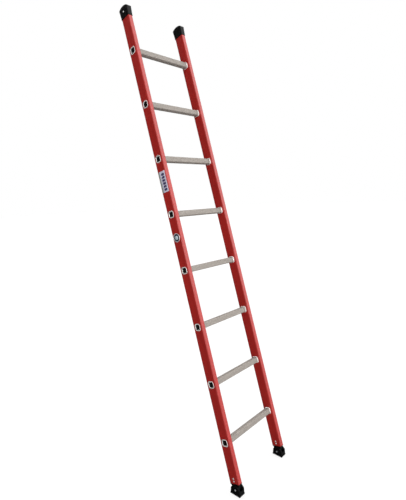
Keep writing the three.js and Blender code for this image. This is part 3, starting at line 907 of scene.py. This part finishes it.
def make_tread(side):
    """Rubber ribs across the sole, cut into blocks by two lengthwise sipes."""
    node = f"foot_tread_{side}"
    low, high = own_box(node, UPRIGHT)
    spacing = (high.y - low.y) / (TREAD_GROOVES + 1)
    outline = [(low.y, low.z)]
    for i in range(1, TREAD_GROOVES + 1):
        centre = low.y + i * spacing
        narrow = GROOVE_WIDTH / 2 - GROOVE_TAPER
        wide = GROOVE_WIDTH / 2
        outline.append((centre - wide, low.z))
        outline.append((centre - narrow, low.z + GROOVE_DEPTH))
        outline.append((centre + narrow, low.z + GROOVE_DEPTH))
        outline.append((centre + wide, low.z))
    outline += [(high.y, low.z), (high.y, high.z), (low.y, high.z)]
    tread = prism(f"foot_tread_{side}_rubber", outline, low.x, high.x, RUBBER)
    width = high.x - low.x
    for share in (1 / 3, 2 / 3):
        x = low.x + width * share
        sipe = [(x - SIPE_HALF, low.y - 1), (x + SIPE_HALF, low.y - 1)]
        sipe += [(x + SIPE_HALF, high.y + 1), (x - SIPE_HALF, high.y + 1)]
        combine(tread, upright_prism("sipe", sipe, low.z - 1, low.z + SIPE_DEPTH), "DIFFERENCE")
    soften(tread, 0.35, 2)
    stand_for(tread, node, f"{side}_foot", UPRIGHT)


# ---- Fasteners -----------------------------------------------------------------------------------


def six_corners(reach):
    """A hexagon's corners in Y and Z, this far from the pivot."""
    return [(reach * math.cos(k * math.pi / 3), reach * math.sin(k * math.pi / 3)) for k in range(6)]


def make_rivet(node, outward):
    """A blind rivet: domed flange with a small well, where the mandrel has broken off."""
    low, high = own_box(node)
    radius = (high.z - low.z) / 2
    tip, top = (low.x, high.x) if outward > 0 else (high.x, low.x)
    length = abs(top - tip)
    base = length - RIVET_HEAD_HEIGHT - GAP
    profile = [(0, 0), (0, RIVET_RADIUS - 0.4), (0.4, RIVET_RADIUS)]
    profile += [(base, RIVET_RADIUS), (base, radius - 0.25)]
    rise = RIVET_HEAD_HEIGHT + GAP - 0.25
    for i in range(1, 11):
        angle = math.pi / 2 * i / 10
        dome_x = base + 0.25 + rise * math.sin(angle)
        profile.append((dome_x, 1.15 + (radius - 1.15) * math.cos(angle)))
    top_x = profile[-1][0]
    profile += [(top_x - 0.5, 1.05), (top_x - 0.55, 0.95), (top_x - 0.35, 0.85), (top_x - 0.3, 0)]
    rivet = turned(
        f"{node}_steel",
        profile,
        36,
        RIVET_METAL,
        outward,
        (tip, 0, (low.z + high.z) / 2),
    )
    stand_for(rivet, node, "ladder")


def make_bolt(side):
    """A button-head bolt with a hexagon socket and a few threads showing past the nut."""
    node = f"pivot_bolt_{side}"
    low, high = own_box(node, UPRIGHT)
    outward = SIDES[side]
    tip, top = (low.x, high.x) if outward > 0 else (high.x, low.x)
    length = abs(top - tip)
    head_radius = (high.z - low.z) / 2
    seat = length - BOLT_HEAD_HEIGHT - GAP
    profile = [(0, 0), (0, 2.2), (0.5, THREAD_ROOT)]
    thread = 0.5
    while thread < THREAD_LENGTH:
        profile += [(thread + 0.15, 2.75), (thread + 0.45, BOLT_RADIUS), (thread + 0.6, BOLT_RADIUS)]
        profile += [(thread + 0.9, THREAD_ROOT)]
        thread += THREAD_PITCH
    profile += [(10, BOLT_RADIUS), (seat, BOLT_RADIUS), (seat, head_radius - 0.3), (seat + 0.3, head_radius)]
    for i in range(9):
        angle = math.pi / 2 * i / 8
        rise = (length - seat - 0.9) * math.sin(angle)
        profile.append((seat + 0.9 + rise, 2.6 + (head_radius - 2.6) * math.cos(angle)))
    profile.append((length, 0))
    bolt = turned(f"{node}_steel", profile, 48, BOLT_STEEL, outward, (tip, 0, 0))
    hexagon = six_corners(BOLT_SOCKET_RADIUS)
    ends = sorted((top - outward * BOLT_SOCKET_DEPTH, top + outward))
    combine(bolt, prism("socket", hexagon, *ends), "DIFFERENCE")
    stand_for(bolt, node, f"{side}_foot", UPRIGHT)


def make_washer(side):
    """A flat washer with all four edges broken."""
    node = f"pivot_washer_{side}"
    low, high = own_box(node, UPRIGHT)
    radius = (high.z - low.z) / 2
    bore = BOLT_RADIUS + GAP
    edge = 0.25
    profile = [
        (low.x, bore + edge),
        (low.x, radius - edge),
        (low.x + edge, radius),
        (high.x - edge, radius),
        (high.x, radius - edge),
        (high.x, bore + edge),
        (high.x - edge, bore),
        (low.x + edge, bore),
    ]
    rings = []
    for x, size in profile:
        angles = [2 * math.pi * i / 40 for i in range(40)]
        rings.append([(x, size * math.cos(a), size * math.sin(a)) for a in angles])
    washer = make_piece(f"{node}_steel", *loft(rings, loop=True), NUT_STEEL)
    stand_for(washer, node, f"{side}_foot", UPRIGHT)


def make_nut(side):
    """A hexagon lock nut with chamfered corners and a nylon ring in its outer end."""
    node = f"pivot_nut_{side}"
    low, high = own_box(node, UPRIGHT)
    outward = -SIDES[side]
    inner, outer = (low.x, high.x) if outward > 0 else (high.x, low.x)
    corner = (high.y - low.y) / 2
    hexagon = six_corners(corner)
    nut = prism(f"{node}_steel", hexagon, low.x, high.x, NUT_STEEL)
    nut.data.materials.append(NYLON)
    height = high.x - low.x
    flats = corner * math.cos(math.pi / 6)
    profile = [(0, 0), (0, flats - 0.1), (0.7, corner + 0.1), (height * 0.7, corner + 0.1)]
    profile += [(height * 0.7 + 0.5, flats - 0.2), (height * 0.75 + 0.3, flats - 0.5)]
    profile += [(height - 0.4, flats - 0.5), (height, flats - 0.9), (height, 0)]
    combine(nut, turned("turning", profile, 48, None, outward, (inner, 0, 0)), "INTERSECT")
    drill(nut, BOLT_RADIUS + GAP, low.x - 1, high.x + 1, 0, 0, 32)
    ring_from = outer - outward * 0.6
    for face in nut.data.polygons:
        centre = face.center
        near_end = (centre.x - ring_from) * outward > 0
        if near_end and math.hypot(centre.y, centre.z) < flats - 1.0:
            face.material_index = 1
    stand_for(nut, node, f"{side}_foot", UPRIGHT)


# ---- Label and badge -----------------------------------------------------------------------------


def make_label():
    """The film on the left stile's outer face, with rounded corners."""
    low, high = own_box("side_label")
    centre = (low + high) / 2
    half_y = (high.y - low.y) / 2
    half_z = (high.z - low.z) / 2
    face = own_box("stile_left")[0].x
    levels = [(0, face), (0, low.x + 0.2), (0.15, low.x + 0.05), (0.5, low.x)]
    rings = []
    for inset, x in levels:
        ring = rounded_ring(half_y - inset, half_z - inset, 3.0 - inset, 6)
        rings.append([(x, centre.y + y, centre.z + z) for y, z in ring])
    label = make_piece("side_label_film", *loft(rings), label_material(low, high))
    stand_for(label, "side_label", "ladder")


def make_badge():
    """A blank round badge: rolled bright rim, dark ring and a shallow bright dome."""
    low, high = own_box("round_badge")
    radius = (high.z - low.z) / 2
    height = high.x - low.x
    profile = [(0, 0), (0, radius - 0.2), (0.3, radius)]
    for i in range(1, 13):
        angle = math.pi * i / 12
        profile.append((height * 0.45 + 1.1 * math.sin(angle), radius - 1.7 + 1.7 * math.cos(angle)))
    rim_end = len(profile)
    profile += [(height * 0.35, radius - 3.6), (height * 0.3, radius - 4.2)]
    profile.append((height * 0.3, BADGE_DOME_RADIUS + 0.4))
    ring_end = len(profile)
    profile.append((height * 0.42, BADGE_DOME_RADIUS))
    for i in range(1, 9):
        angle = math.pi / 2 * i / 8
        rise = height * (0.42 + 0.56 * math.sin(angle))
        profile.append((rise, BADGE_DOME_RADIUS * math.cos(angle)))
    rim = badge_material("badge_rim", (0.84, 0.82, 0.83), (0.74, 0.73, 0.75), 0.22, 0.6)
    ring = badge_material("badge_ring", (0.018, 0.022, 0.045), (0.035, 0.04, 0.07), 0.4, 0.0)
    dome = badge_material("badge_dome", (0.60, 0.74, 0.80), (0.72, 0.84, 0.88), 0.25, 0.3)
    start = own_box("stile_left")[0].x
    badge = turned("round_badge_disc", profile, 64, rim, -1, (start, 0, (low.z + high.z) / 2))
    badge.data.materials.append(ring)
    badge.data.materials.append(dome)
    ring_radius = profile[rim_end][1]
    dome_radius = profile[ring_end][1]
    for face in badge.data.polygons:
        out = math.hypot(face.center.y, face.center.z - (low.z + high.z) / 2)
        if face.center.x < start - 0.5 and out < ring_radius:
            face.material_index = 2 if out < dome_radius else 1
    stand_for(badge, "round_badge", "ladder")


# ---- Floor, light and camera ---------------------------------------------------------------------


def make_floor():
    """A floor that looks white, but lights the ladder from the front more than from behind."""
    made = Shades("pale_floor", leaning=False)
    speck = made.noise(3, 3, 3, detail=3)
    white = made.mix(made.ramp(speck, 0.3, 0.7), (0.19, 0.19, 0.19), (0.2, 0.2, 0.2))
    seen = made.tree.nodes.new("ShaderNodeLightPath").outputs["Is Camera Ray"]
    behind = made.ramp(made.split()[1], *FLOOR_DARKENS)
    lighting = made.mix(behind, FLOOR_LIGHT, FLOOR_DARK)
    made.set(Base_Color=made.mix(seen, lighting, white), Roughness=0.95)
    glow = made.maths("MULTIPLY", seen, FLOOR_GLOW)
    made.set(Emission_Color=(1.0, 1.0, 1.0, 1.0), Emission_Strength=glow)
    made.shader.inputs["Specular IOR Level"].default_value = 0.0
    reach = FLOOR_REACH
    points = [(-reach, -reach, 0), (reach, -reach, 0), (reach, reach, 0), (-reach, reach, 0)]
    floor = make_piece("floor", points, [(0, 1, 2, 3)], made.material)


def make_soft_light(name, towards, strength, spread):
    """A far, wide light that shines the same on the whole ladder. The spread is in degrees across."""
    data = bpy.data.lights.new(name, "SUN")
    data.energy = strength
    data.angle = math.radians(spread)
    light = bpy.data.objects.new(name, data)
    light.rotation_euler = (-Vector(towards)).to_track_quat("-Z", "Y").to_euler()
    bpy.context.scene.collection.objects.link(light)


def make_sky():
    """A plain studio: seen as white, but lighting the ladder from the front more than from behind."""
    world = bpy.data.worlds.new("studio")
    bpy.context.scene.world = world
    world.use_nodes = True
    tree = world.node_tree
    lit = tree.nodes["Background"]
    lit.inputs["Color"].default_value = (1.0, 1.0, 1.0, 1.0)
    direction = tree.nodes.new("ShaderNodeTexCoord").outputs["Generated"]
    split = tree.nodes.new("ShaderNodeSeparateXYZ")
    tree.links.new(direction, split.inputs["Vector"])
    fade = tree.nodes.new("ShaderNodeMapRange")
    fade.inputs["From Min"].default_value = SKY_CHANGES[0]
    fade.inputs["From Max"].default_value = SKY_CHANGES[1]
    fade.inputs["To Min"].default_value = SKY_FRONT
    fade.inputs["To Max"].default_value = SKY_BEHIND
    tree.links.new(split.outputs["Y"], fade.inputs["Value"])
    tree.links.new(fade.outputs["Result"], lit.inputs["Strength"])
    seen = tree.nodes.new("ShaderNodeBackground")
    seen.inputs["Color"].default_value = (1.0, 1.0, 1.0, 1.0)
    choose = tree.nodes.new("ShaderNodeMixShader")
    path = tree.nodes.new("ShaderNodeLightPath")
    tree.links.new(path.outputs["Is Camera Ray"], choose.inputs["Fac"])
    tree.links.new(lit.outputs["Background"], choose.inputs[1])
    tree.links.new(seen.outputs["Background"], choose.inputs[2])
    tree.links.new(choose.outputs["Shader"], tree.nodes["World Output"].inputs["Surface"])


def make_camera():
    """The view of the ladder from its front left, a little above its middle."""
    data = bpy.data.cameras.new("camera")
    data.lens = CAMERA_LENS
    data.clip_start = 0.05
    data.clip_end = 60
    camera = bpy.data.objects.new("camera", data)
    bpy.context.scene.collection.objects.link(camera)
    heading = Matrix.Rotation(-math.radians(CAMERA_AZIMUTH), 4, "Z")
    tilt = Matrix.Rotation(math.radians(90 + CAMERA_PITCH), 4, "X")
    roll = Matrix.Rotation(math.radians(CAMERA_ROLL), 4, "Z")
    camera.matrix_world = Matrix.Translation(CAMERA_PLACE) @ heading @ tilt @ roll
    bpy.context.scene.camera = camera


def make_lights():
    """Four soft suns. Each direction points from the ladder to its light."""
    make_soft_light("key", (0.66, -0.58, 0.48), 1.95, 60)
    make_soft_light("fill", (-0.85, -0.45, 0.28), 0.76, 45)
    make_soft_light("edge", (-0.3, -0.9, 0.3), 0.8, 12)
    make_soft_light("top", (0.1, 0.5, 0.86), 2.6, 60)


# ---- The whole ladder ----------------------------------------------------------------------------

make_camera()
make_floor()
make_sky()
make_lights()
bpy.context.scene.view_settings.view_transform = "Standard"

for rung_number in range(1, len(RUNG_HEIGHTS) + 1):
    make_rung(rung_number)
for side, outward in SIDES.items():
    make_stile(side)
    make_cap(side)
    make_rivet(f"cap_rivet_{side}", outward)
    make_insert(side)
    for place in RIVET_NAMES:
        make_rivet(f"insert_rivet_{side}_{place}", outward if place.startswith("outer") else -outward)
    make_shoe(side)
    make_tread(side)
    make_bolt(side)
    make_washer(side)
    make_nut(side)
make_label()
make_badge()
